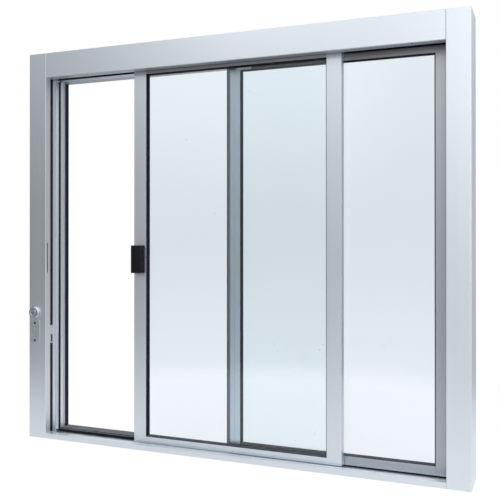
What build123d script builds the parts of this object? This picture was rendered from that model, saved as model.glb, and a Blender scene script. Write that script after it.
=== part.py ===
from build123d import *
import math
import os

# A sliding service window in its aluminium frame, in millimetres.
# X runs to the right, Y from the serving side to the back, Z up.
# The origin is at the middle of the underside of the sill.

# Frame
frame_width = 1219.0
frame_height = 1092.0
frame_depth = 105.0
jamb_face = 56.0
header_face = 70.0
tube_wall = 3.0
jamb_web = 8.0
jamb_edge_radius = 1.0
header_edge_radius = 1.5
cover_end_gap = 0.4
header_top_thickness = 4.0

# Front to back: lip of the header cover, then the channel of the sliding panel
lip_depth = 27.0
channel_width = 34.5

# Sill and stops
sill_floor = 6.0
sill_lip_height = 14.0
sill_lip_depth = 19.0
sill_stop_height = 8.0
jamb_stop_rise = 4.5
jamb_stop_gap = 1.5
head_stop_drop = 2.0
head_stop_chamfer = 5.0
head_recess = 10.0
stop_back_inset = 5.0
stop_groove_width = 4.0
stop_groove_depth = 2.5
stop_groove_inset = 23.0

# Weather strips of the jambs
strip_inset = 22.0
strip_width = 9.5
strip_seat = 4.0
strip_proud = 1.0
score_inset = 43.5
score_width = 3.0
score_depth = 1.5

# Pile and gaskets of the stops
pile_thickness = 4.0
sill_pile_height = 7.0
sill_pile_drop = 0.5
head_pile_height = 6.0
jamb_pile_inset = 1.0
jamb_pile_width = 8.5
jamb_pile_proud = 1.0
stop_gasket_width = 14.5
stop_gasket_thickness = 1.5
sill_gasket_width = 36.0
sill_gasket_thickness = 2.0
seal_joint = 0.5

# Glazing
glass_thickness = 6.0
glass_setback = 10.0
glass_bite = 8.0
glass_edge_gap = 2.0
glass_side_gap = 0.25
front_gasket_face = 3.2
rear_gasket_face = 2.0
gasket_step = 1.0
gasket_edge = 3.0
gasket_land = 0.8
panel_wall = 2.0
panel_edge_radius = 0.5

# Sliding panel
sash_width = 583.0
sash_thickness = 22.0
sash_lock_stile_face = 37.0
sash_meeting_stile_face = 38.0
sash_top_rail_face = 22.0
sash_bottom_rail_face = 16.5
sash_front_gap = 3.0
sash_sill_gap = 6.5
sash_head_entry = 14.0
sash_opening = 271.7

# Fixed panel
fixed_width = 568.5
fixed_thickness = 20.0
fixed_meeting_face = 38.0
fixed_jamb_stile_face = 31.0
fixed_top_rail_face = 16.5
fixed_bottom_rail_face = 21.5
fixed_head_entry = 2.0
panel_gap = 3.0
foot_seal_height = 4.0
meeting_pile_inset = 0.5
meeting_pile_width = 9.0
meeting_pile_thickness = 2.0
interlock_groove_inset = 21.5
interlock_groove_width = 2.2
interlock_groove_depth = 1.2
guide_inset = 27.0
guide_width = 42.0
guide_height = 8.0
guide_thickness = 2.0

# Hanging gear
track_clearance = 5.0
track_depth = 10.0
track_height = 8.0
hanger_inset = 60.0
hanger_width = 40.0
hanger_plate = 3.0
hanger_foot = 10.0
hanger_track_gap = 2.0
roller_diameter = 24.0
roller_width = 6.0
roller_track_gap = 1.0
axle_diameter = 8.0
running_gap = 0.3

# Pull handle
handle_width = 30.5
handle_height = 75.0
handle_proud = 22.0
handle_inset = 2.3
handle_base_height = 473.0
handle_edge_radius = 1.5
handle_scoop_radius = 12.0
handle_scoop_depth = 2.5

# Lock on the left jamb
lock_inset = 20.0
lock_height = 355.0
collar_base_diameter = 35.0
collar_front_diameter = 31.0
collar_proud = 8.0
barrel_diameter = 24.0
barrel_length = 30.0
plug_diameter = 16.0
plug_proud = 1.0
keyway_width = 2.0
keyway_height = 9.0
keyway_depth = 3.0
lock_fit = 0.1
indicator_width = 31.0
indicator_height = 65.0
indicator_thickness = 1.2
indicator_drop = 22.0
indicator_corner_radius = 2.0
flag_width = 16.5
flag_height = 28.5
flag_thickness = 0.7
bolt_plate_height = 51.0
bolt_plate_drop = 37.0
bolt_slot_width = 7.5
bolt_slot_height = 21.5
bolt_slot_rise = 3.0
latch_slot_length = 85.5
latch_slot_width = 4.0
latch_slot_depth = 8.5
latch_slot_height = 511.5

# Places that follow from the sizes above
front = -frame_depth / 2
back = frame_depth / 2
left = -frame_width / 2
inner_left = left + jamb_face
inner_right = -inner_left
header_under = frame_height - header_face
channel_back = lip_depth + channel_width
sash_left = inner_left + sash_opening
sash_right = sash_left + sash_width
sash_front = lip_depth + sash_front_gap
sash_back = sash_front + sash_thickness
sash_bottom = sill_floor + sash_sill_gap
sash_top = header_under + sash_head_entry
fixed_left = inner_right - fixed_width
fixed_front = sash_back + panel_gap
fixed_back = fixed_front + fixed_thickness
fixed_bottom = sill_floor + foot_seal_height
fixed_top = header_under + fixed_head_entry
header_box_under = header_under + head_recess
stop_back = frame_depth - stop_back_inset
sill_stop_top = sill_floor + sill_stop_height
head_stop_under = header_under - head_stop_drop
pile_front = channel_back - pile_thickness
jamb_stop_front = sash_back + jamb_stop_gap
lock_x = left + lock_inset
indicator_top = lock_height - indicator_drop
bolt_plate_top = lock_height - bolt_plate_drop
bolt_plate_bottom = bolt_plate_top - bolt_plate_height
track_under = sash_top + track_clearance
track_top = track_under + track_height

OUT_OF_FACE = Vector(0, -1, 0)
INTO_DEPTH = Vector(0, 1, 0)


def depth(start, end):
    """Y span of a piece, from two depths behind the frame's front face."""
    return (front + start, front + end)


def block(x_span, y_span, z_span):
    """Box between pairs of lower and upper limits."""
    lows, highs = zip(x_span, y_span, z_span)
    size = [high - low for low, high in zip(lows, highs)]
    return Pos(*lows) * Box(*size, align=(Align.MIN, Align.MIN, Align.MIN))


def inward(side, start, end):
    """X span on a jamb, from two distances inward of its outer face; side is -1 left, 1 right."""
    ends = (side * (frame_width / 2 - start), side * (frame_width / 2 - end))
    return (min(ends), max(ends))


def facing(x, y, z, direction):
    """Plane at a point whose normal points to the front or to the back."""
    return Plane(origin=(x, y, z), x_dir=(1, 0, 0), z_dir=direction)


def save(name, *solids):
    """Writes one named piece, of one solid or of several that do not touch."""
    shape = solids[0] if len(solids) == 1 else Compound(children=list(solids))
    export_step(shape, f"parts/{name}.step")


def jamb(side):
    """Hollow upright with a rounded front and a grooved inner face."""
    whole = depth(0, frame_depth)
    height = (0, frame_height)
    body = block(inward(side, 0, jamb_face), whole, height)
    body = fillet(body.edges().filter_by(Axis.Z).group_by(Axis.Y)[0], jamb_edge_radius)
    hollow = inward(side, tube_wall, jamb_face - jamb_web)
    body -= block(hollow, depth(tube_wall, frame_depth - tube_wall), height)
    groove = inward(side, jamb_face - strip_seat, jamb_face)
    body -= block(groove, depth(strip_inset, strip_inset + strip_width), height)
    score = inward(side, jamb_face - score_depth, jamb_face)
    body -= block(score, depth(score_inset, score_inset + score_width), height)
    return body


def left_jamb():
    """Left upright with the slots of latch and bolt in its return and the lock's hole in its face."""
    slot_plane = Plane.YZ.offset(inner_left - jamb_web)
    slot_place = Pos(front + latch_slot_depth, latch_slot_height)
    slot = SlotOverall(latch_slot_length, latch_slot_width, rotation=90)
    body = jamb(-1) - extrude(slot_plane * slot_place * slot, jamb_web) - bolt_slot()
    hole = Circle(barrel_diameter / 2 + lock_fit)
    return body - extrude(facing(lock_x, front, lock_height, INTO_DEPTH) * hole, tube_wall)


def bolt_slot():
    """Space of the slot that the lock's bolt comes out of, through the jamb's web and the bolt plate."""
    middle = strip_inset + strip_width / 2
    bottom = bolt_plate_bottom + bolt_slot_rise
    return block(
        inward(-1, jamb_face - jamb_web, jamb_face + strip_proud),
        depth(middle - bolt_slot_width / 2, middle + bolt_slot_width / 2),
        (bottom, bottom + bolt_slot_height),
    )


def weatherstrip(side):
    """Black strip standing in the groove of a jamb."""
    across = inward(side, jamb_face - strip_seat, jamb_face + strip_proud)
    along = depth(strip_inset, strip_inset + strip_width)
    return block(across, along, (sill_lip_height, header_under))


def frame_pieces():
    """Jambs, header, sill and the strips of the jambs."""
    clear = (inner_left, inner_right)
    save("left_jamb", left_jamb())
    save("right_jamb", jamb(1))

    between = (inner_left + cover_end_gap, inner_right - cover_end_gap)
    cover = block(between, depth(0, tube_wall), (header_under, frame_height))
    cover += block(between, depth(0, lip_depth), (header_under, header_under + tube_wall))
    lower_front = cover.edges().filter_by(Axis.X).group_by(Axis.Z)[0].sort_by(Axis.Y)[0]
    save("header_cover", fillet(lower_front, header_edge_radius))
    top = (frame_height - header_top_thickness, frame_height)
    save("header_top", block(clear, depth(tube_wall, channel_back), top))
    box = block(clear, depth(channel_back, frame_depth), (header_box_under, frame_height))
    inside = depth(channel_back + tube_wall, frame_depth - tube_wall)
    box -= block(clear, inside, (header_box_under + tube_wall, frame_height - tube_wall))
    save("header_box", box)

    section = Polyline(
        (front, 0),
        (back, 0),
        (back, sill_floor),
        (front + lip_depth, sill_floor),
        (front + sill_lip_depth, sill_lip_height),
        (front, sill_lip_height),
        close=True,
    )
    save("sill", extrude(Plane.YZ.offset(inner_left) * make_face(section), frame_width - 2 * jamb_face))

    plate_gap = block(clear, depth(0, frame_depth), (bolt_plate_bottom, bolt_plate_top))
    plate_gap = Pos(-jamb_face, 0, 0) * plate_gap
    strip = weatherstrip(-1) - plate_gap
    save("left_jamb_weatherstrip", *strip.solids())
    save("right_jamb_weatherstrip", weatherstrip(1))


def upright_stop(side, start):
    """Upright stop bar behind a panel, with a shallow groove along its inner face."""
    height = (sill_stop_top, head_stop_under)
    body = block(inward(side, jamb_face, jamb_face + jamb_stop_rise), depth(start, stop_back), height)
    groove_from = jamb_face + jamb_stop_rise - stop_groove_depth
    groove = inward(side, groove_from, jamb_face + jamb_stop_rise)
    groove_start = start + stop_groove_inset
    if side < 0:
        body -= block(groove, depth(groove_start, groove_start + stop_groove_width), height)
    return body


def head_stop(across, along):
    """Stop bar under the header's box, chamfered along its lower front edge."""
    body = block(across, along, (head_stop_under, header_box_under))
    lower_front = body.edges().filter_by(Axis.X).group_by(Axis.Z)[0].sort_by(Axis.Y)[0]
    return chamfer(lower_front, head_stop_chamfer)


def stop_pieces():
    """Stops at sill, jambs and head, deep at the open bay and shallow behind the fixed panel."""
    bays = {
        "left": (-1, (inner_left, fixed_left), channel_back, jamb_stop_front),
        "right": (1, (fixed_left, inner_right), fixed_back, fixed_back),
    }
    for name, (side, across, start, upright_start) in bays.items():
        along = depth(start, stop_back)
        save(f"{name}_sill_stop", block(across, along, (sill_floor, sill_stop_top)))
        save(f"{name}_head_stop", head_stop(across, along))
        save(f"{name}_jamb_stop", upright_stop(side, upright_start))

    stop_face = jamb_face + jamb_stop_rise
    upright = (sill_stop_top, head_stop_under)
    jamb_pile_start = jamb_stop_front + jamb_pile_inset
    jamb_pile = depth(jamb_pile_start, jamb_pile_start + jamb_pile_width)
    pile = depth(pile_front, channel_back)
    bay = (inner_left, fixed_left)
    sill_pile_top = sill_stop_top - sill_pile_drop
    save(
        "stop_pile",
        block(inward(-1, stop_face, stop_face + jamb_pile_proud), jamb_pile, upright),
        block(bay, pile, (sill_pile_top - sill_pile_height, sill_pile_top)),
        block(bay, pile, (header_box_under - head_pile_height, header_box_under)),
    )

    on_stop = inward(-1, stop_face, stop_face + stop_gasket_thickness)
    on_sill = (sill_stop_top, sill_stop_top + sill_gasket_thickness)
    sill_gasket_left = left + stop_face + max(stop_gasket_thickness, jamb_pile_proud) + seal_joint
    save(
        "stop_gasket",
        block(on_stop, depth(stop_back - stop_gasket_width, stop_back), upright),
        block((sill_gasket_left, fixed_left), depth(stop_back - sill_gasket_width, stop_back), on_sill),
    )


def glazing_gasket(x_span, z_span, outer_y, glass_y, face):
    """Wedge ring that fills the rebate between a panel's face and its glass."""
    (x0, x1), (z0, z1) = x_span, z_span
    direction = OUT_OF_FACE if outer_y < glass_y else INTO_DEPTH
    rise = abs(glass_y - outer_y)
    slope_rise = rise - gasket_edge
    slope_run = face - gasket_land
    slope = math.degrees(math.atan2(slope_run, slope_rise))
    sight_width = x1 - x0 - 2 * face
    sight_height = z1 - z0 - 2 * face
    base = facing((x0 + x1) / 2, glass_y, (z0 + z1) / 2, direction)
    ring = extrude(base * Rectangle(x1 - x0, z1 - z0), rise)
    ring -= extrude(base * Rectangle(sight_width, sight_height), rise)
    sloped = extrude(base.offset(gasket_edge) * Rectangle(sight_width, sight_height), slope_rise, taper=-slope)
    return ring - sloped


def panel_pieces(name, stile_names, x_span, start, thickness, z_span, faces, grooves=()):
    """Stiles, rails, glass and gaskets of one glazed panel; faces are left, right, bottom, top.

    Grooves are the left edges of the lines that run up the front of the stiles.
    """
    (x0, x1), (z0, z1) = x_span, z_span
    left_face, right_face, bottom_face, top_face = faces
    daylight_x = (x0 + left_face, x1 - right_face)
    daylight_z = (z0 + bottom_face, z1 - top_face)
    through = depth(start, start + thickness)
    glass_front = start + glass_setback
    glass_rear = glass_front + glass_thickness
    seat = glass_bite + glass_edge_gap
    pocket = block(
        (daylight_x[0] - seat, daylight_x[1] + seat),
        depth(glass_front - glass_side_gap, glass_rear + glass_side_gap),
        (daylight_z[0] - seat, daylight_z[1] + seat),
    )
    inside = depth(start + panel_wall, start + thickness - panel_wall)
    hollows = (
        (x0 + panel_wall, daylight_x[0] - seat - panel_wall),
        (daylight_x[1] + seat + panel_wall, x1 - panel_wall),
    )
    outsides = ((x0, daylight_x[0]), (daylight_x[1], x1))
    for stile_name, outside, hollow in zip(stile_names, outsides, hollows):
        stile = block(outside, through, z_span)
        stile = fillet(stile.edges().filter_by(Axis.Z).group_by(Axis.Y)[0], panel_edge_radius)
        stile -= block(hollow, inside, z_span) + pocket
        for x in grooves:
            stile -= block((x, x + interlock_groove_width), depth(start, start + interlock_groove_depth), z_span)
        save(f"{name}_{stile_name}", stile)
    save(f"{name}_bottom_rail", block(daylight_x, through, (z0, daylight_z[0])) - pocket)
    save(f"{name}_top_rail", block(daylight_x, through, (daylight_z[1], z1)) - pocket)

    pane_x = (daylight_x[0] - glass_bite, daylight_x[1] + glass_bite)
    pane_z = (daylight_z[0] - glass_bite, daylight_z[1] + glass_bite)
    save(f"{name}_glass", block(pane_x, depth(glass_front, glass_rear), pane_z))
    rings = {
        "front": (front + start + gasket_step, front + glass_front, front_gasket_face),
        "rear": (front + start + thickness, front + glass_rear, rear_gasket_face),
    }
    for side, (outer_y, glass_y, face) in rings.items():
        save(f"{name}_{side}_gasket", glazing_gasket(daylight_x, daylight_z, outer_y, glass_y, face))


def sliding_panel():
    """Panel that slides in front of the fixed one, standing half open."""
    faces = (sash_lock_stile_face, sash_meeting_stile_face, sash_bottom_rail_face, sash_top_rail_face)
    panel_pieces(
        "sash",
        ("lock_stile", "meeting_stile"),
        (sash_left, sash_right),
        sash_front,
        sash_thickness,
        (sash_bottom, sash_top),
        faces,
    )


def fixed_panel():
    """Panel that fills the right bay, held between a seal on the sill and one under the header."""
    faces = (fixed_meeting_face, fixed_jamb_stile_face, fixed_bottom_rail_face, fixed_top_rail_face)
    panel_pieces(
        "fixed",
        ("meeting_stile", "jamb_stile"),
        (fixed_left, inner_right),
        fixed_front,
        fixed_thickness,
        (fixed_bottom, fixed_top),
        faces,
        (fixed_left + interlock_groove_inset,),
    )
    across = (fixed_left, inner_right)
    through = depth(fixed_front, fixed_back)
    save("fixed_foot_seal", block(across, through, (sill_floor, fixed_bottom)))
    save("fixed_head_seal", block(across, through, (fixed_top, header_box_under)))
    pile_left = fixed_left + meeting_pile_inset
    upright = (fixed_bottom + fixed_bottom_rail_face, fixed_top - fixed_top_rail_face)
    on_face = depth(fixed_front - meeting_pile_thickness, fixed_front)
    save("meeting_pile", block((pile_left, pile_left + meeting_pile_width), on_face, upright))
    guide_left = fixed_left + guide_inset
    guide_under = fixed_top - fixed_top_rail_face
    guide = block(
        (guide_left, guide_left + guide_width),
        depth(fixed_front - guide_thickness, fixed_front),
        (guide_under, guide_under + guide_height),
    )
    save("head_guide", guide)


def hanging_gear():
    """Track in the header, and the hangers and rollers that carry the sliding panel on it."""
    track_front = channel_back - track_depth
    save("head_track", block((inner_left, inner_right), depth(track_front, channel_back), (track_under, track_top)))

    plate_back = track_front - hanger_track_gap
    plate_front = plate_back - hanger_plate
    roller_front = track_front + roller_track_gap
    axle_height = track_top + running_gap + roller_diameter / 2
    hangers = []
    rollers = []
    for middle in (sash_left + hanger_inset, sash_right - hanger_inset):
        across = (middle - hanger_width / 2, middle + hanger_width / 2)
        hanger = block(across, depth(plate_front, plate_back), (sash_top, axle_height + axle_diameter))
        hanger += block(across, depth(plate_back - hanger_foot, plate_back), (sash_top, sash_top + hanger_plate))
        axle = facing(middle, front + plate_front, axle_height, INTO_DEPTH) * Circle(axle_diameter / 2)
        hangers.append(hanger + extrude(axle, roller_front + roller_width - plate_front))
        wheel_plane = facing(middle, front + roller_front, axle_height, INTO_DEPTH)
        bore = Circle(axle_diameter / 2 + running_gap)
        rollers.append(extrude(wheel_plane * (Circle(roller_diameter / 2) - bore), roller_width))
    save("sash_hangers", *hangers)
    save("sash_rollers", *rollers)


def pull_handle():
    """Upright grip on the lock stile, scooped along both sides for the fingers."""
    x0 = sash_left + handle_inset
    x1 = x0 + handle_width
    z_span = (handle_base_height, handle_base_height + handle_height)
    grip = block((x0, x1), depth(sash_front - handle_proud, sash_front), z_span)
    grip = fillet(grip.edges().filter_by(Axis.Z).group_by(Axis.Y)[0], handle_edge_radius)
    scoop_y = front + sash_front - handle_proud / 2
    reach = handle_scoop_radius - handle_scoop_depth
    for x in (x0 - reach, x1 + reach):
        scoop = Pos(x, scoop_y, handle_base_height) * Circle(handle_scoop_radius)
        grip -= extrude(scoop, handle_height)
    save("pull_handle", grip)


def lock_pieces():
    """Key cylinder and indicator on the jamb's face, and the bolt plate in its strip groove."""
    on_face = facing(lock_x, front, lock_height, OUT_OF_FACE)
    into_jamb = facing(lock_x, front, lock_height, INTO_DEPTH)
    collar = on_face * Cone(
        collar_base_diameter / 2,
        collar_front_diameter / 2,
        collar_proud,
        align=(Align.CENTER, Align.CENTER, Align.MIN),
    )
    collar -= extrude(on_face * Circle(plug_diameter / 2), collar_proud)
    barrel = extrude(into_jamb * Circle(barrel_diameter / 2), barrel_length)
    save("lock_cylinder", collar + barrel)
    plug = extrude(on_face * Circle(plug_diameter / 2 - lock_fit), collar_proud + plug_proud)
    plug_face = on_face.offset(collar_proud + plug_proud - keyway_depth)
    save("cylinder_plug", plug - extrude(plug_face * Rectangle(keyway_width, keyway_height), keyway_depth))

    middle = indicator_top - indicator_height / 2
    plate_plane = facing(lock_x, front, middle, OUT_OF_FACE)
    outline = RectangleRounded(indicator_width, indicator_height, indicator_corner_radius)
    window = Rectangle(flag_width, flag_height)
    save("indicator_plate", extrude(plate_plane * (outline - window), indicator_thickness))
    flag = Rectangle(flag_width - 2 * lock_fit, flag_height - 2 * lock_fit)
    save("indicator_flag", extrude(plate_plane * flag, flag_thickness))

    across = inward(-1, jamb_face - strip_seat, jamb_face + strip_proud)
    plate = block(across, depth(strip_inset, strip_inset + strip_width), (bolt_plate_bottom, bolt_plate_top))
    save("lock_bolt_plate", plate - bolt_slot())


os.makedirs("parts", exist_ok=True)
frame_pieces()
stop_pieces()
sliding_panel()
fixed_panel()
hanging_gear()
pull_handle()
lock_pieces()
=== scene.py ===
"""Looks of a sliding service window: finishes, small hardware, stage and camera."""

import math

import bmesh
import bpy
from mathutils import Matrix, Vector


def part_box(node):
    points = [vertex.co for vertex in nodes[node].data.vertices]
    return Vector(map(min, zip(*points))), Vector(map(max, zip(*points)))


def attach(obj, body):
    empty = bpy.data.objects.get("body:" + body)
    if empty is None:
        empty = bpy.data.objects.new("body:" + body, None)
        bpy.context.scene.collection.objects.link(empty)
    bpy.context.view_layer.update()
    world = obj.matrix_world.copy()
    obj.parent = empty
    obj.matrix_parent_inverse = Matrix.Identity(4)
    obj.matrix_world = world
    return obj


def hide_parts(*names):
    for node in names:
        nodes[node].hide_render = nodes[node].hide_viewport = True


bl_info = {
    "name": "Service Window",
    "version": (1, 0, 0),
    "blender": (4, 5, 0),
    "location": "View3D > Sidebar > Service Window",
    "description": "Finishes and small hardware of an aluminium sliding service window",
    "category": "Object",
}

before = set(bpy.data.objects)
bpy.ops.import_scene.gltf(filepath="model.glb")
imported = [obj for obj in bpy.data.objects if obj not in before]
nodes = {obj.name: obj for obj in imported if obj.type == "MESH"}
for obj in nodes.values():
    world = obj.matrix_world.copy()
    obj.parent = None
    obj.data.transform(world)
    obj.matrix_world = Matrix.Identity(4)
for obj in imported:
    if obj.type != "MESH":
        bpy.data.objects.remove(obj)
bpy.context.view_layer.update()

MM = 0.001
X, Y, Z = range(3)
WHITE = (1, 1, 1, 1)
OUT = Vector((0.0, -1.0, 0.0))
DOWN = Vector((0.0, 0.0, -1.0))
# Points this near count as one place, and points this near in a new piece are merged
SAME_PLACE = 0.01 * MM
MERGE_GAP = 0.02 * MM
# Places of the factor, the two colours and the result among the sockets of a Mix node
MIX_FACTOR, MIX_FIRST, MIX_SECOND, MIX_RESULT = 0, 6, 7, 2

# Turned outlines of the lock: radius, and reach out of the jamb's face, in millimetres
COLLAR_OUTLINE = (
    (12.0, -30.0), (12.0, 0.0), (17.5, 0.0), (17.5, 0.8), (17.3, 1.4), (16.2, 5.9), (15.9, 6.8), (15.4, 7.5),
    (14.7, 7.9), (13.9, 8.0), (11.2, 8.0), (10.5, 7.8), (10.1, 7.2), (9.5, 6.8), (8.15, 6.7), (8.15, 0.4),
)
PLUG_OUTLINE = ((7.9, 0.5), (7.9, 8.2), (7.7, 8.6), (7.3, 8.9), (6.8, 9.0))
# Cuts of the keyway: shift from the middle of the plug's face, and size, in millimetres
KEYWAY = (
    ((0.0, 0.0, 0.3), (1.5, 6.0, 8.4)),
    ((0.7, 0.0, 1.8), (1.5, 6.0, 1.6)),
    ((-0.7, 0.0, -1.6), (1.5, 6.0, 1.8)),
)
# Pan head of a screw: its crown over its radius, and its turned outline as shares of radius and crown
SCREW_CROWN = 0.5
SCREW_OUTLINE = ((1.0, 0.0), (1.0, 0.3), (0.95, 0.5), (0.74, 0.8), (0.42, 0.96), (0.1, 1.0))
# Cross recess of a screw: length and width as shares of the radius, depth as a share of the crown
RECESS_LENGTH = 1.1
RECESS_WIDTH = 0.26
RECESS_DEPTH = 1.2

# Cross-sections along the pull's depth that shape its finger scoop
GRIP_RINGS = 16
# Tip of a tuft as a share of its foot, how far the tips stray, and the fewest rows across a brush
TUFT_TIP = 0.62
TUFT_STRAY = 0.16 * MM
FEWEST_ROWS = 2
# Scale along an extrusion that draws its noise out into die lines
DIE_STRETCH = 0.004

# Soft panels of the studio: turn to the right of the front, rise, spread, all in degrees, and level
SOFT_PANELS = {
    "front_left": (-18.0, 5.0, 34.0, 0.27),
    "over_left": (-18.0, 35.0, 34.0, 0.6),
    "over_front": (6.0, 35.0, 34.0, 1.1),
    "over_right": (36.0, 35.0, 34.0, 1.3),
    "high_right": (72.0, 35.0, 34.0, 1.6),
    "overhead": (0.0, 88.0, 50.0, 1.6),
    "right_side": (108.0, 5.0, 38.0, 1.0),
    "rear": (180.0, 5.0, 38.0, 0.57),
    "over_rear": (180.0, 48.0, 42.0, 1.25),
    "rear_left": (-142.0, 5.0, 38.0, 0.48),
}
ROOM_LEVEL = 0.10

# Backdrop behind the panes: factors of its colour at the ends, at the upper right and at eye level
BACKDROP_ENDS = 1.03
BACKDROP_UPPER_RIGHT = 0.945
BACKDROP_EYE_LEVEL = 0.91
# Where the backdrop changes tone, as parts of a direction: from left to right, at the horizon, off eye level
TURN_TO_RIGHT = (-0.28, -0.15)
HORIZON = (-0.02, 0.02)
EYE_LEVEL = (0.0, 0.22)

# Floor: sides of its disc, how far it lies under the window, share of plain white that the camera sees,
# and where it starts to fade as a share of its radius
FLOOR_SIDES = 96
FLOOR_DROP = 0.5 * MM
FLOOR_WHITE = 0.88
FLOOR_FADE = 0.65

# Camera at the photograph's viewing point: place in metres, angles in degrees, sensor in millimetres
CAMERA_PLACE = (0.7744, -1.7787, 0.5802)
CAMERA_PITCH = 90.202
CAMERA_TURN = 22.127
CAMERA_SHIFT = -0.0382
SENSOR_WIDTH = 36.0

# Aluminium finishes: their colour, the axis of their die lines, and the nodes that take them
EXTRUSIONS = {
    "anodised_upright": ("aluminium", Z, (
        "left_jamb", "right_jamb", "left_jamb_stop", "right_jamb_stop",
        "sash_lock_stile", "sash_meeting_stile",
    )),
    "anodised_level": ("aluminium", X, (
        "header_cover", "header_top", "header_box", "sill", "left_sill_stop", "right_sill_stop",
        "left_head_stop", "right_head_stop", "sash_bottom_rail",
    )),
    # The fixed meeting stile takes a lighter, bluer copy of the aluminium: painted reflection of the sliding
    # pane in front of it
    "anodised_inner_stile": ("inner_aluminium_painted_reflection", Z, ("fixed_meeting_stile",)),
    # The fixed panel's stile and bottom rail take a darker copy of the aluminium: painted shade of the right
    # jamb and the sliding panel
    "anodised_fixed_stile": ("shaded_fixed_aluminium", Z, ("fixed_jamb_stile",)),
    "anodised_fixed_rail": ("shaded_fixed_aluminium", X, ("fixed_bottom_rail",)),
    # The rails under the header take a darker, warmer copy of the aluminium: painted shade of the header's
    # lip
    "dull_head_rail": ("head_rail", X, ("sash_top_rail", "fixed_top_rail", "head_track")),
}
# Rubber finishes: how much their upward faces turn a lighter grey, and the nodes that take them
RUBBERS = {
    "black_rubber_seal": (0.08, ("left_jamb_weatherstrip", "right_jamb_weatherstrip", "fixed_head_seal")),
    # Glazing gaskets: their upward faces turn a lighter, bluish grey
    "glazing_rubber": (0.6, (
        "sash_front_gasket", "sash_rear_gasket", "fixed_front_gasket", "fixed_rear_gasket",
    )),
    "dusty_rubber_seal": (1.0, ("stop_gasket", "fixed_foot_seal")),
}
PANES = ("sash_glass", "fixed_glass")


def colour(name, default, description):
    """A colour that a user may change, in linear values."""
    return bpy.props.FloatVectorProperty(
        name=name, description=description, default=default, size=3, min=0.0, max=1.0, subtype="COLOR"
    )


def length(name, default, description):
    """A size that a user may change, in metres."""
    return bpy.props.FloatProperty(
        name=name, description=description, default=default, min=0.0, unit="LENGTH", subtype="DISTANCE"
    )


class ServiceWindowColours(bpy.types.PropertyGroup):
    """Colours of the finishes."""

    aluminium: colour("Aluminium", (0.68, 0.73, 0.79), "Clear anodised extrusions")
    # Darker copy of the aluminium for the fixed panel's bars: painted shade
    shaded_fixed_aluminium: colour("Fixed Panel", (0.42, 0.45, 0.485), "Darker bars of the fixed panel")
    # Lighter, bluer copy of the aluminium for the stile behind the sliding pane: painted reflection of that
    # pane
    inner_aluminium_painted_reflection: colour("Inner Stile", (0.72, 0.82, 0.90), "Fixed panel's stile behind the sliding pane")
    # Darker, warmer copy of the aluminium for the rails under the header: painted shade of the header's lip
    head_rail: colour("Head Rails", (0.47, 0.475, 0.485), "Duller rails under the header")
    glass: colour("Glass", (0.92, 0.962, 0.98), "Tint of the panes")
    rubber: colour("Rubber", (0.004, 0.006, 0.012), "Gaskets and weather strips")
    pile: colour("Black Pile", (0.006, 0.007, 0.010), "Brush pile of the stops")
    grey_pile: colour("Grey Pile", (0.30, 0.32, 0.35), "Brush pile of the meeting stile")
    plastic: colour("Handle Plastic", (0.004, 0.0045, 0.007), "Moulded pull handle")
    steel: colour("Lock Steel", (0.60, 0.645, 0.70), "Indicator plate and bolt plate")
    collar: colour("Lock Collar", (0.50, 0.535, 0.58), "Turned collar and key plug")
    zinc: colour("Zinc Plate", (0.52, 0.54, 0.55), "Hangers in the header")
    nylon: colour("Nylon", (0.84, 0.84, 0.82), "Rollers and head guide")
    flag: colour("Indicator Flag", (0.215, 0.28, 0.26), "Flag in the lock's window")
    # Lighter grey that the upward faces of the seals take
    dust: colour("Dust", (0.13, 0.14, 0.155), "Dust that settles on level faces of the seals")
    screw: colour("Screw", (0.09, 0.095, 0.105), "Darkened screws of the lock and the header")
    floor: colour("Floor", (0.90, 0.90, 0.90), "Floor that the window stands on")
    floor_light: colour("Floor Light", (0.94, 0.94, 0.94), "Light that the floor sends up to the window")
    floor_beyond: colour("Floor Beyond", (0.92, 0.93, 0.965), "Floor as it shows through the panes")
    backdrop: colour("Backdrop", (0.868, 0.893, 0.93), "Pale backdrop seen through the panes")


class ServiceWindowSizes(bpy.types.PropertyGroup):
    """Sizes of the hardware and the stage."""

    screw_radius: length("Screw Radius", 3.6 * MM, "Head of a screw on the indicator plate")
    screw_inset: length("Screw Inset", 8.0 * MM, "Screw from the end of the indicator plate")
    cover_screw_radius: length("Cover Screw Radius", 2.6 * MM, "Head of the screw under the header's lip")
    cover_screw_inset: length("Cover Screw Inset", 76.5 * MM, "Cover screw from the right end of the header")
    cover_screw_depth: length("Cover Screw Depth", 4.5 * MM, "Cover screw behind the header's front")
    scoop_radius: length("Scoop Radius", 12.0 * MM, "Finger scoop along the sides of the handle")
    scoop_depth: length("Scoop Depth", 2.5 * MM, "How far the scoop goes into the handle")
    grip_round: length("Grip Rounding", 1.3 * MM, "Rounding of the handle's edges")
    tuft_pitch: length("Tuft Pitch", 2.0 * MM, "Spacing of the tufts of a brush pile")
    floor_radius: length("Floor Radius", 1.5, "Reach of the floor around the window")
    lens: bpy.props.FloatProperty(
        name="Lens", description="Focal length of the camera in millimetres", default=53.27, min=1.0,
        subtype="DISTANCE_CAMERA",
    )


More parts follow.
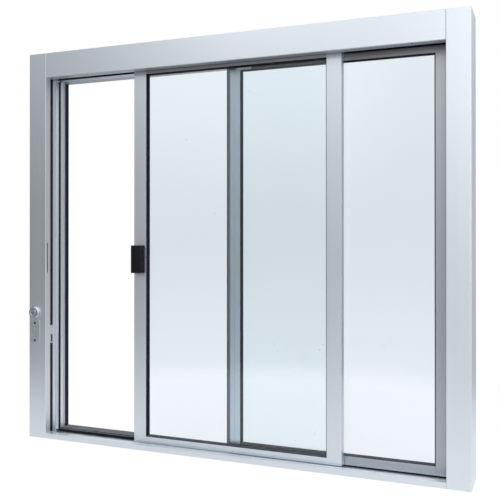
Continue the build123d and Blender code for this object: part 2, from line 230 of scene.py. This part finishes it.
class Level:
    """One socket of a node tree; sums on it add Math nodes."""

    def __init__(self, tree, socket):
        self.tree = tree
        self.socket = socket

    def __getitem__(self, output):
        """Another output of the same node."""
        return Level(self.tree, self.socket.node.outputs[output])

    def sum(self, operation, first, second):
        """Math node on two levels or numbers."""
        node = self.tree.nodes.new("ShaderNodeMath")
        node.operation = operation
        for slot, value in zip(node.inputs, (first, second)):
            join(self.tree, slot, value)
        return Level(self.tree, node.outputs[0])

    def __add__(self, other):
        return self.sum("ADD", self, other)

    def __radd__(self, other):
        return self.sum("ADD", other, self)

    def __sub__(self, other):
        return self.sum("SUBTRACT", self, other)

    def __rsub__(self, other):
        return self.sum("SUBTRACT", other, self)

    def __mul__(self, other):
        return self.sum("MULTIPLY", self, other)

    def __rmul__(self, other):
        return self.sum("MULTIPLY", other, self)

    def at_least(self, other):
        return self.sum("MAXIMUM", self, other)

    def at_most(self, other):
        return self.sum("MINIMUM", self, other)


def join(tree, slot, value):
    """Links a level to an input, or sets the input's own value."""
    if isinstance(value, Level):
        tree.links.new(value.socket, slot)
    else:
        slot.default_value = value


class Bench:
    """Empty node tree of one finish, and the nodes put on it."""

    def __init__(self, owner):
        owner.use_nodes = True
        self.tree = owner.node_tree
        self.tree.nodes.clear()

    def node(self, kind, settings=None, sockets=None):
        """Adds a node, sets it up, then fills its sockets; gives its first output."""
        made = self.tree.nodes.new("ShaderNode" + kind)
        for key, value in (settings or {}).items():
            setattr(made, key, value)
        for key, value in (sockets or {}).items():
            join(self.tree, made.inputs[key], value)
        return Level(self.tree, made.outputs[0]) if made.outputs else None

    def place(self, scale=(1, 1, 1)):
        """Object coordinates, scaled."""
        coordinates = self.node("TexCoord")["Object"]
        return self.node("Mapping", {}, {"Vector": coordinates, "Scale": scale})

    def noise(self, size, detail=2.0, rough=0.5, scale=(1, 1, 1)):
        """Noise value over the object."""
        sockets = {"Vector": self.place(scale), "Scale": size, "Detail": detail, "Roughness": rough}
        return self.node("TexNoise", {}, sockets)

    def ramp(self, level, low, high):
        """Smooth step of a level between two limits."""
        settings = {"interpolation_type": "SMOOTHSTEP"}
        return self.node("MapRange", settings, {"Value": level, "From Min": low, "From Max": high})

    def blend(self, factor, first, second):
        """Colour between two colours."""
        sockets = {MIX_FACTOR: factor, MIX_FIRST: first, MIX_SECOND: second}
        return self.node("Mix", {"data_type": "RGBA"}, sockets)[MIX_RESULT]

    def bump(self, height, strength, distance):
        """Normal raised by a height."""
        return self.node("Bump", {}, {"Height": height, "Strength": strength, "Distance": distance})

    def surface(self, **sockets):
        """Principled shader wired to the output."""
        named = {key.replace("_", " ").title().replace("Ior", "IOR"): value for key, value in sockets.items()}
        self.wire(self.node("BsdfPrincipled", {}, named))

    def wire(self, shader, target="OutputMaterial"):
        """Sends a shader to the tree's output."""
        self.node(target, {}, {"Surface": shader})


def opaque(shade, factor=1.0):
    """Colour with full alpha, lightened or darkened."""
    return (*(min(1.0, part * factor) for part in shade), 1.0)


def anodised(name, shade, along):
    """Satin anodised extrusion with faint die lines along one axis."""
    made = bpy.data.materials.new(name)
    bench = Bench(made)
    drawn = [1.0, 1.0, 1.0]
    drawn[along] = DIE_STRETCH
    lines = bench.noise(900.0, detail=3.0, rough=0.6, scale=drawn)
    wide_lines = bench.noise(120.0, scale=drawn)
    clouds = bench.noise(6.0, detail=3.0, rough=0.55)
    grain = bench.noise(2600.0, detail=1.0)
    tone = 0.35 * lines + 0.35 * wide_lines + 0.30 * clouds
    base = bench.blend(tone, opaque(shade, 0.95), opaque(shade, 1.05))
    rough = 0.40 + 0.05 * clouds + 0.05 * wide_lines
    height = 0.6 * lines + 0.4 * grain
    bench.surface(
        base_color=base, metallic=1.0, roughness=rough, coat_weight=0.25, coat_roughness=0.25,
        normal=bench.bump(height, strength=0.06, distance=0.4 * MM),
    )
    return made


def clear_glass(name, shade):
    """Clear pane with a breath of haze, a wiping smear and a few specks of dust."""
    made = bpy.data.materials.new(name)
    bench = Bench(made)
    haze = bench.noise(5.0, detail=3.0, rough=0.6)
    strokes = bench.noise(3.2, detail=4.0, rough=0.6, scale=(1.0, 1.0, 2.6))
    smear = bench.ramp(strokes, low=0.58, high=0.80)
    wiped = bench.blend(haze, opaque(shade, 0.99), opaque(shade, 1.01))
    dulled = bench.blend(0.6 * smear, wiped, opaque(shade, 0.94))
    cells = {"Vector": bench.place(), "Scale": 34.0, "Randomness": 1.0}
    near = bench.node("TexVoronoi", {}, cells)["Distance"]
    rare = bench.ramp(bench.noise(9.0, detail=1.0), low=0.62, high=0.68)
    specks = rare * (1.0 - bench.ramp(near, low=0.05, high=0.13))
    base = bench.blend(0.8 * specks, dulled, opaque(shade, 0.72))
    bench.surface(base_color=base, roughness=0.0, transmission_weight=1.0, ior=1.45)
    return made


def rubber(name, shade, top_greying, top_grey_shade):
    """Extruded black rubber, dull, its upward faces turned a lighter grey, more or less."""
    made = bpy.data.materials.new(name)
    bench = Bench(made)
    patches = bench.ramp(bench.noise(45.0, detail=4.0, rough=0.65), low=0.3, high=0.75)
    facing = bench.node("SeparateXYZ", {}, {0: bench.node("NewGeometry")["Normal"]})
    # Upward faces turn a lighter grey, more so in patches
    level = bench.ramp(facing["Z"], low=0.5, high=0.95)
    dust = level * (0.55 * top_greying + 0.45 * top_greying * patches)
    grain = bench.noise(1400.0, rough=0.6)
    clean = bench.blend(0.5 * patches, opaque(shade), opaque(shade, 1.6))
    base = bench.blend(dust, clean, opaque(top_grey_shade))
    bench.surface(
        base_color=base, roughness=0.5 + 0.2 * dust, specular_ior_level=0.14,
        normal=bench.bump(grain, strength=0.12, distance=0.3 * MM),
    )
    return made


def brush_pile(name, shade):
    """Dense brush pile."""
    made = bpy.data.materials.new(name)
    bench = Bench(made)
    fibres = bench.noise(2200.0, rough=0.7)
    tufts = bench.noise(320.0, rough=0.6)
    base = bench.blend(0.6 * fibres + 0.4 * tufts, opaque(shade, 0.6), opaque(shade, 1.5))
    bench.surface(
        base_color=base, roughness=0.92, specular_ior_level=0.15, sheen_weight=0.08,
        normal=bench.bump(fibres + tufts, strength=0.5, distance=0.8 * MM),
    )
    return made


def moulded_plastic(name, shade, rough, gloss=0.5):
    """Moulded plastic with a fine spark-eroded texture."""
    made = bpy.data.materials.new(name)
    bench = Bench(made)
    grain = bench.noise(1100.0, detail=3.0, rough=0.6)
    rub = bench.ramp(bench.noise(30.0, detail=3.0, rough=0.6), low=0.45, high=0.75)
    base = bench.blend(rub, opaque(shade, 0.9), opaque(shade, 1.25))
    bench.surface(
        base_color=base, roughness=rough - 0.06 * rub, specular_ior_level=gloss,
        normal=bench.bump(grain, strength=0.15, distance=0.3 * MM),
    )
    return made


def satin_steel(name, shade, rough):
    """Satin plated steel with fine brushing."""
    made = bpy.data.materials.new(name)
    bench = Bench(made)
    brushing = bench.noise(1300.0, rough=0.6, scale=(1.0, 1.0, 0.03))
    stain = bench.noise(60.0, detail=3.0, rough=0.6)
    base = bench.blend(0.5 * brushing + 0.5 * stain, opaque(shade, 0.88), opaque(shade, 1.1))
    bench.surface(
        base_color=base, metallic=1.0, roughness=rough + 0.1 * stain,
        normal=bench.bump(brushing, strength=0.05, distance=0.3 * MM),
    )
    return made


def turned_steel(name, shade, centre):
    """Satin steel with fine rings about the lock's axis."""
    made = bpy.data.materials.new(name)
    bench = Bench(made)
    coordinates = bench.node("TexCoord")["Object"]
    near = bench.node("Mapping", {}, {"Vector": coordinates, "Location": (-centre.x, 0.0, -centre.z)})
    flat = bench.node("VectorMath", {"operation": "MULTIPLY"}, {0: near, 1: (1, 0, 1)})
    reach = bench.node("VectorMath", {"operation": "LENGTH"}, {0: flat})["Value"]
    rings = bench.node("TexNoise", {"noise_dimensions": "1D"}, {"W": reach, "Scale": 2600.0, "Detail": 3.0})
    stain = bench.noise(90.0, detail=3.0, rough=0.6)
    base = bench.blend(0.5 * rings + 0.5 * stain, opaque(shade, 0.86), opaque(shade, 1.1))
    bench.surface(
        base_color=base, metallic=1.0, roughness=0.36 + 0.12 * stain,
        normal=bench.bump(rings, strength=0.10, distance=0.3 * MM),
    )
    return made


def dress(names, material):
    """Gives CAD nodes a finish."""
    for name in names:
        slots = nodes[name].data.materials
        slots.clear()
        slots.append(material)


def add_piece(name, primitive, **settings):
    """Adds a primitive with nothing else selected, puts its place into its mesh and opens it for editing."""
    bpy.ops.object.select_all(action="DESELECT")
    primitive(**settings)
    piece = bpy.context.object
    piece.name = name
    bpy.ops.object.transform_apply(location=True, rotation=True, scale=True)
    bpy.ops.object.mode_set(mode="EDIT")
    return piece


def add_block(name, low, high):
    """Box between two corners, open for editing."""
    middle = [(a + b) / 2 for a, b in zip(low, high)]
    size = [b - a for a, b in zip(low, high)]
    return add_piece(name, bpy.ops.mesh.primitive_cube_add, size=1.0, location=middle, scale=size)


def choose(piece, test):
    """Selects only the vertices whose place passes a test, in edit mode."""
    bpy.ops.mesh.select_mode(type="VERT")
    bpy.ops.mesh.select_all(action="DESELECT")
    shape = bmesh.from_edit_mesh(piece.data)
    for vertex in shape.verts:
        vertex.select_set(test(vertex.co))
    bmesh.update_edit_mesh(piece.data)


def close_mesh():
    """Merges doubles, turns faces outward and leaves edit mode."""
    bpy.ops.mesh.select_all(action="SELECT")
    bpy.ops.mesh.remove_doubles(threshold=MERGE_GAP)
    bpy.ops.mesh.normals_make_consistent(inside=False)
    bpy.ops.object.mode_set(mode="OBJECT")


def take_up(piece):
    """Makes a piece the only one selected, in object mode."""
    bpy.ops.object.select_all(action="DESELECT")
    piece.select_set(True)
    bpy.context.view_layer.objects.active = piece


def finish_piece(piece, material, smooth=35.0):
    """Shades a piece, gives it its finish and lets it ride on the frame."""
    take_up(piece)
    bpy.ops.object.shade_smooth_by_angle(angle=math.radians(smooth))
    piece.data.materials.clear()
    piece.data.materials.append(material)
    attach(piece, "root")


def apply_modifier(piece, kind, **settings):
    """Adds a modifier in object mode and applies it."""
    made = piece.modifiers.new("step", kind)
    for key, value in settings.items():
        setattr(made, key, value)
    bpy.context.view_layer.objects.active = piece
    bpy.ops.object.modifier_apply(modifier="step")


def turn_profile(name, centre, out, outline, steps=64):
    """Closed piece turned about an axis; outline is pairs of radius and reach along it, in millimetres."""
    (radius, reach), *rest = outline
    tilt = (math.pi / 2, 0, 0) if out.y else (0, 0, 0)
    piece = add_piece(
        name, bpy.ops.mesh.primitive_circle_add, vertices=steps, radius=radius * MM,
        location=centre + out * reach * MM, rotation=tilt,
    )
    bpy.ops.mesh.select_all(action="SELECT")
    for next_radius, next_reach in rest:
        move = {"value": out * (next_reach - reach) * MM}
        bpy.ops.mesh.extrude_region_move(TRANSFORM_OT_translate=move)
        factor = next_radius / radius
        scale = [1.0 if part else factor for part in out]
        bpy.ops.transform.resize(value=scale, center_override=centre + out * next_reach * MM)
        radius, reach = next_radius, next_reach
    bpy.ops.mesh.select_all(action="SELECT")
    bpy.ops.mesh.fill_holes(sides=0)
    close_mesh()
    return piece


def cut_slot(piece, middle, size):
    """Takes a box out of a closed piece; the size is in millimetres."""
    half = Vector(size) * MM / 2
    cutter = add_block("cutter", middle - half, middle + half)
    bpy.ops.object.mode_set(mode="OBJECT")
    apply_modifier(piece, "BOOLEAN", operation="DIFFERENCE", solver="EXACT", object=cutter)
    bpy.data.objects.remove(cutter, do_unlink=True)


def solid_boxes(name):
    """Boxes of the separate solids of a CAD node, as pairs of corners."""
    shape = bmesh.new()
    shape.from_mesh(nodes[name].data)
    bmesh.ops.remove_doubles(shape, verts=shape.verts, dist=SAME_PLACE)
    boxes = []
    waiting = set(shape.verts)
    while waiting:
        solid = [waiting.pop()]
        for vert in solid:
            fresh = [other for edge in vert.link_edges for other in edge.verts if other in waiting]
            waiting.difference_update(fresh)
            solid.extend(dict.fromkeys(fresh))
        corners = list(zip(*(vert.co for vert in solid)))
        boxes.append(([min(line) for line in corners], [max(line) for line in corners]))
    shape.free()
    return sorted(boxes)


def middle_of(name):
    """Middle of a CAD node's box."""
    low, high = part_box(name)
    return (Vector(low) + Vector(high)) / 2


def front_of(name):
    """Middle of the face of a CAD node's box that looks to the serving side."""
    place = middle_of(name)
    place.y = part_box(name)[0][Y]
    return place


def add_screw(name, place, out, radius):
    """Pan-head screw with a cross recess, standing on a face."""
    rim = radius / MM
    crown = SCREW_CROWN * rim
    outline = [(wide * rim, tall * crown) for wide, tall in SCREW_OUTLINE]
    screw = turn_profile(name, place, out, outline, steps=40)
    top = place + out * crown * MM
    for axis in (X, Z) if out.y else (X, Y):
        size = [RECESS_WIDTH * rim] * 3
        size[axis] = RECESS_LENGTH * rim
        size[Y if out.y else Z] = RECESS_DEPTH * crown
        cut_slot(screw, top, size)
    return screw


def copy_piece(piece, name, move):
    """Copy of a piece with its own mesh, moved and put in place."""
    take_up(piece)
    bpy.ops.object.duplicate_move(TRANSFORM_OT_translate={"value": move})
    twin = bpy.context.object
    twin.name = name
    bpy.ops.object.transform_apply(location=True)
    return twin


def add_tufts(name, low, high, axis, sign, along, pitch):
    """Rows of tapered tufts that fill a box and point along one axis."""
    across = X + Y + Z - axis - along
    size = [b - a for a, b in zip(low, high)]
    counts = {along: round(size[along] / pitch), across: max(FEWEST_ROWS, round(size[across] / pitch))}
    steps = {line: size[line] / count for line, count in counts.items()}
    corner = list(low)
    for line, step in steps.items():
        corner[line] = low[line] + step
    corner[axis] = high[axis]
    brush = add_block(name, low, corner)
    tip = high[axis] if sign > 0 else low[axis]
    choose(brush, lambda place: abs(place[axis] - tip) < SAME_PLACE)
    taper = [TUFT_TIP] * 3
    taper[axis] = 1.0
    middle = [(a + b) / 2 for a, b in zip(low, corner)]
    bpy.ops.transform.resize(value=taper, center_override=middle)
    bpy.ops.object.mode_set(mode="OBJECT")
    for line, step in steps.items():
        offset = [0.0, 0.0, 0.0]
        offset[line] = step
        apply_modifier(
            brush, "ARRAY", count=counts[line], use_relative_offset=False, use_constant_offset=True,
            constant_offset_displace=offset,
        )
    bpy.ops.object.mode_set(mode="EDIT")
    choose(brush, lambda place: abs(place[axis] - tip) < SAME_PLACE)
    bpy.ops.transform.vertex_random(offset=TUFT_STRAY, seed=counts[along])
    bpy.ops.object.mode_set(mode="OBJECT")
    return brush


def join_pieces(pieces):
    """One piece made of several."""
    take_up(pieces[0])
    for piece in pieces:
        piece.select_set(True)
    bpy.ops.object.join()
    return pieces[0]


class SERVICEWINDOW_OT_aluminium(bpy.types.Operator):
    """Finish the extrusions of frame and panels"""

    bl_idname = "servicewindow.aluminium"
    bl_label = "Finish Aluminium"

    def execute(self, context):
        shades = context.scene.service_window_colours
        for name, (shade, along, names) in EXTRUSIONS.items():
            dress(names, anodised(name, getattr(shades, shade), along))
        return {"FINISHED"}


class SERVICEWINDOW_OT_glazing(bpy.types.Operator):
    """Finish the panes and their seals"""

    bl_idname = "servicewindow.glazing"
    bl_label = "Finish Glazing"

    def execute(self, context):
        shades = context.scene.service_window_colours
        dress(PANES, clear_glass("clear_pane", shades.glass))
        for name, (top_greying, names) in RUBBERS.items():
            dress(names, rubber(name, shades.rubber, top_greying, shades.dust))
        return {"FINISHED"}


class SERVICEWINDOW_OT_hardware(bpy.types.Operator):
    """Finish the lock's plates, the head guide and the hanging gear"""

    bl_idname = "servicewindow.hardware"
    bl_label = "Finish Hardware"

    def execute(self, context):
        shades = context.scene.service_window_colours
        dress(("head_guide", "sash_rollers"), moulded_plastic("white_nylon", shades.nylon, rough=0.5))
        dress(("indicator_flag",), moulded_plastic("green_flag", shades.flag, rough=0.3))
        lock_steel = satin_steel("satin_lock_steel", shades.steel, rough=0.42)
        dress(("indicator_plate", "lock_bolt_plate"), lock_steel)
        dress(("sash_hangers",), satin_steel("zinc_plate", shades.zinc, rough=0.38))
        return {"FINISHED"}


class SERVICEWINDOW_OT_lock(bpy.types.Operator):
    """Turn the lock's collar and its key plug"""

    bl_idname = "servicewindow.lock"
    bl_label = "Turn Lock"

    def execute(self, context):
        shades = context.scene.service_window_colours
        centre = front_of("cylinder_plug")
        centre.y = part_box("left_jamb")[0][Y]
        steel = turned_steel("turned_lock_steel", shades.collar, centre)
        collar = turn_profile("lock_collar", centre, OUT, COLLAR_OUTLINE)
        finish_piece(collar, steel, smooth=25.0)
        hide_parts("lock_cylinder")
        plug = turn_profile("key_plug", centre, OUT, PLUG_OUTLINE)
        face = front_of("cylinder_plug")
        for shift, size in KEYWAY:
            cut_slot(plug, face + Vector(shift) * MM, size)
        finish_piece(plug, steel, smooth=25.0)
        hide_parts("cylinder_plug")
        return {"FINISHED"}


class SERVICEWINDOW_OT_screws(bpy.types.Operator):
    """Add the screws of the indicator plate and of the header's cover"""

    bl_idname = "servicewindow.screws"
    bl_label = "Add Screws"

    def execute(self, context):
        sizes = context.scene.service_window_sizes
        shade = context.scene.service_window_colours.screw
        finish = satin_steel("darkened_screw", shade, rough=0.34)
        low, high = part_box("indicator_plate")
        place = front_of("indicator_plate")
        place.z = high[Z] - sizes.screw_inset
        drop = Vector((0.0, 0.0, 2 * sizes.screw_inset - (high[Z] - low[Z])))
        upper = add_screw("indicator_screw_upper", place, OUT, sizes.screw_radius)
        lower = copy_piece(upper, "indicator_screw_lower", drop)
        low, high = (Vector(corner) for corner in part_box("header_cover"))
        spot = Vector((high.x - sizes.cover_screw_inset, low.y + sizes.cover_screw_depth, low.z))
        cover = add_screw("header_cover_screw", spot, DOWN, sizes.cover_screw_radius)
        for screw in (upper, lower, cover):
            finish_piece(screw, finish)
        return {"FINISHED"}


class SERVICEWINDOW_OT_handle(bpy.types.Operator):
    """Mould the pull handle of the sliding panel"""

    bl_idname = "servicewindow.handle"
    bl_label = "Mould Handle"

    def execute(self, context):
        sizes = context.scene.service_window_sizes
        low, high = (Vector(corner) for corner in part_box("pull_handle"))
        middle = (low + high) / 2
        grip = add_block("pull_grip", low, high)
        levels = [low.y + (high.y - low.y) * ring / GRIP_RINGS for ring in range(1, GRIP_RINGS)]
        for level in levels:
            bpy.ops.mesh.select_all(action="SELECT")
            bpy.ops.mesh.bisect(plane_co=(0, level, 0), plane_no=(0, 1, 0))
        bow = sizes.scoop_radius
        for level in levels:
            reach = max(0.0, bow**2 - (level - middle.y) ** 2)
            scoop = max(0.0, math.sqrt(reach) - (bow - sizes.scoop_depth))
            choose(grip, lambda place: abs(place.y - level) < SAME_PLACE)
            narrow = 1.0 - 2.0 * scoop / (high.x - low.x)
            bpy.ops.transform.resize(value=(narrow, 1.0, 1.0), center_override=middle)
        close_mesh()
        apply_modifier(
            grip, "BEVEL", width=sizes.grip_round, segments=4, limit_method="ANGLE",
            angle_limit=math.radians(55.0),
        )
        shade = context.scene.service_window_colours.plastic
        plastic = moulded_plastic("black_moulded_grip", shade, rough=0.5, gloss=0.2)
        finish_piece(grip, plastic, smooth=40.0)
        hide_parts("pull_handle")
        return {"FINISHED"}


class SERVICEWINDOW_OT_brushes(bpy.types.Operator):
    """Set the tufts of the brush piles"""

    bl_idname = "servicewindow.brushes"
    bl_label = "Set Brushes"

    def execute(self, context):
        shades = context.scene.service_window_colours
        pitch = context.scene.service_window_sizes.tuft_pitch
        strips = []
        for number, (low, high) in enumerate(solid_boxes("stop_pile")):
            upright = high[Z] - low[Z] > high[X] - low[X]
            turn = (X, 1, Z) if upright else (Y, -1, X)
            strips.append(add_tufts(f"stop_brush_{number}", low, high, *turn, pitch))
        brush = join_pieces(strips)
        brush.name = "stop_brush"
        finish_piece(brush, brush_pile("black_brush_pile", shades.pile))
        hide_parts("stop_pile")
        low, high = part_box("meeting_pile")
        wool = add_tufts("meeting_brush", low, high, Y, -1, Z, pitch)
        finish_piece(wool, brush_pile("grey_brush_pile", shades.grey_pile))
        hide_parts("meeting_pile")
        return {"FINISHED"}


class SERVICEWINDOW_OT_stage(bpy.types.Operator):
    """Set the floor, the light and the camera"""

    bl_idname = "servicewindow.stage"
    bl_label = "Set Stage"

    def execute(self, context):
        set_floor(context)
        set_studio(context)
        set_lamps()
        set_camera(context)
        return {"FINISHED"}


def set_floor(context):
    """Pale round floor that shows as white, keeps a soft shadow and fades out at its rim."""
    sizes = context.scene.service_window_sizes
    shades = context.scene.service_window_colours
    bpy.ops.object.select_all(action="DESELECT")
    bpy.ops.mesh.primitive_circle_add(
        vertices=FLOOR_SIDES, radius=sizes.floor_radius, fill_type="NGON", location=(0, 0, -FLOOR_DROP)
    )
    floor = context.object
    floor.name = "studio_floor"
    bpy.ops.object.transform_apply(location=True)
    made = bpy.data.materials.new("pale_floor")
    bench = Bench(made)
    mottle = bench.noise(3.0)
    base = bench.blend(mottle, opaque(shades.floor, 0.985), opaque(shades.floor))
    matte = bench.node("BsdfPrincipled", {}, {"Base Color": base, "Roughness": 0.9})
    rays = bench.node("LightPath")
    unseen = bench.blend(rays["Is Transmission Ray"], opaque(shades.floor_light), opaque(shades.floor_beyond))
    glow = bench.blend(rays["Is Camera Ray"], unseen, WHITE)
    white = bench.node("Emission", {}, {"Color": glow, "Strength": 1.0})
    seen = rays["Is Camera Ray"] + rays["Is Transmission Ray"] + rays["Is Glossy Ray"]
    lit = bench.node("MixShader", {}, {0: FLOOR_WHITE * seen.at_most(1.0), 1: matte, 2: white})
    reach = bench.node("VectorMath", {"operation": "LENGTH"}, {0: bench.place()})["Value"]
    rim = bench.ramp(reach, FLOOR_FADE * sizes.floor_radius, sizes.floor_radius)
    bench.wire(bench.node("MixShader", {}, {0: rim, 1: lit, 2: bench.node("BsdfTransparent")}))
    floor.data.materials.append(made)


def set_studio(context):
    """World: a white background, a pale backdrop behind the panes and soft panels all round."""
    backdrop = context.scene.service_window_colours.backdrop
    world = bpy.data.worlds.new("studio")
    context.scene.world = world
    bench = Bench(world)
    direction = bench.node("TexCoord")["Generated"]
    parts = bench.node("SeparateXYZ", {}, {0: direction})
    right, up = parts["X"], parts["Z"]
    level = ROOM_LEVEL
    for turn, rise, spread, strength in SOFT_PANELS.values():
        sockets = {0: direction, 1: towards(turn, rise)}
        facing = bench.node("VectorMath", {"operation": "DOT_PRODUCT"}, sockets)["Value"]
        level = level + strength * bench.ramp(facing, math.cos(math.radians(spread)), 1.0)
    rays = bench.node("LightPath")
    light = bench.node("CombineXYZ", {}, {0: level, 1: level, 2: level})
    ends, upper_right, eye_level = (
        opaque(backdrop, factor) for factor in (BACKDROP_ENDS, BACKDROP_UPPER_RIGHT, BACKDROP_EYE_LEVEL)
    )
    upper = bench.blend(bench.ramp(right, *TURN_TO_RIGHT), ends, upper_right)
    sides = bench.blend(bench.ramp(up, *HORIZON), ends, upper)
    off_level = up.at_least(0.0 - up)
    screen = bench.blend(bench.ramp(off_level, *EYE_LEVEL), eye_level, sides)
    straight = rays["Is Transmission Ray"] * (1.0 - rays["Glossy Depth"].at_most(1.0))
    through = bench.blend(straight, light, screen)
    seen = bench.blend(rays["Is Camera Ray"], through, WHITE)
    bench.wire(bench.node("Background", {}, {"Color": seen, "Strength": 1.0}), "OutputWorld")


def towards(turn, rise):
    """Direction turned to the right of the front and raised above the horizon, in degrees."""
    turn, rise = math.radians(turn), math.radians(rise)
    return Vector((math.sin(turn) * math.cos(rise), -math.cos(turn) * math.cos(rise), math.sin(rise)))


def set_lamps():
    """Softbox close to the right jamb, one further round, and a small bank over the front."""
    low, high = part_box("right_jamb")
    jamb = (Vector(low) + Vector(high)) / 2
    front = Vector((0.0, 0.0, 0.55))
    place_lamp("near_softbox", jamb, turn=22.0, rise=8.0, distance=1.4, size=(1.2, 1.4), power=5.5)
    place_lamp("side_softbox", jamb, turn=62.0, rise=5.0, distance=1.4, size=(1.0, 1.3), power=4.2)
    place_lamp("front_bank", front, turn=-23.0, rise=28.0, distance=3.6, size=(0.9, 0.5), power=5.4)


def place_lamp(name, target, turn, rise, distance, size, power):
    """Area lamp aimed at a point from a turn and a rise, hidden from the camera and through the panes."""
    away = towards(turn, rise)
    lamp = bpy.data.lights.new(name, "AREA")
    lamp.shape = "RECTANGLE"
    lamp.size, lamp.size_y = size
    lamp.energy = power
    holder = bpy.data.objects.new(name, lamp)
    holder.location = target + away * distance
    holder.rotation_euler = (-away).to_track_quat("-Z", "Y").to_euler()
    holder.visible_camera = False
    holder.visible_transmission = False
    bpy.context.scene.collection.objects.link(holder)


def set_camera(context):
    """Camera at the photograph's viewing point."""
    camera = bpy.data.cameras.new("camera")
    camera.sensor_width = SENSOR_WIDTH
    camera.lens = context.scene.service_window_sizes.lens
    camera.shift_y = CAMERA_SHIFT
    holder = bpy.data.objects.new("camera", camera)
    holder.location = CAMERA_PLACE
    holder.rotation_euler = (math.radians(CAMERA_PITCH), 0.0, math.radians(CAMERA_TURN))
    context.scene.collection.objects.link(holder)
    context.scene.camera = holder
    context.scene.view_settings.view_transform = "Standard"


class SERVICEWINDOW_PT_panel(bpy.types.Panel):
    """Sidebar of the service window"""

    bl_idname = "SERVICEWINDOW_PT_panel"
    bl_label = "Service Window"
    bl_space_type = "VIEW_3D"
    bl_region_type = "UI"
    bl_category = "Service Window"

    def draw(self, context):
        for step in OPERATORS:
            self.layout.operator(step.bl_idname)
        for group in (context.scene.service_window_sizes, context.scene.service_window_colours):
            for key in group.bl_rna.properties.keys():
                if key not in ("rna_type", "name"):
                    self.layout.prop(group, key)


OPERATORS = (
    SERVICEWINDOW_OT_aluminium,
    SERVICEWINDOW_OT_glazing,
    SERVICEWINDOW_OT_hardware,
    SERVICEWINDOW_OT_lock,
    SERVICEWINDOW_OT_screws,
    SERVICEWINDOW_OT_handle,
    SERVICEWINDOW_OT_brushes,
    SERVICEWINDOW_OT_stage,
)
CLASSES = (ServiceWindowColours, ServiceWindowSizes, *OPERATORS, SERVICEWINDOW_PT_panel)


def register():
    """Adds the classes and the scene's settings."""
    for item in CLASSES:
        bpy.utils.register_class(item)
    bpy.types.Scene.service_window_colours = bpy.props.PointerProperty(type=ServiceWindowColours)
    bpy.types.Scene.service_window_sizes = bpy.props.PointerProperty(type=ServiceWindowSizes)


def unregister():
    """Takes the classes and the settings away again."""
    del bpy.types.Scene.service_window_sizes
    del bpy.types.Scene.service_window_colours
    for item in reversed(CLASSES):
        bpy.utils.unregister_class(item)


def main():
    """Builds the window's looks."""
    register()
    bpy.ops.servicewindow.aluminium()
    bpy.ops.servicewindow.glazing()
    bpy.ops.servicewindow.hardware()
    bpy.ops.servicewindow.lock()
    bpy.ops.servicewindow.screws()
    bpy.ops.servicewindow.handle()
    bpy.ops.servicewindow.brushes()
    bpy.ops.servicewindow.stage()


if __name__ == "__main__":
    main()
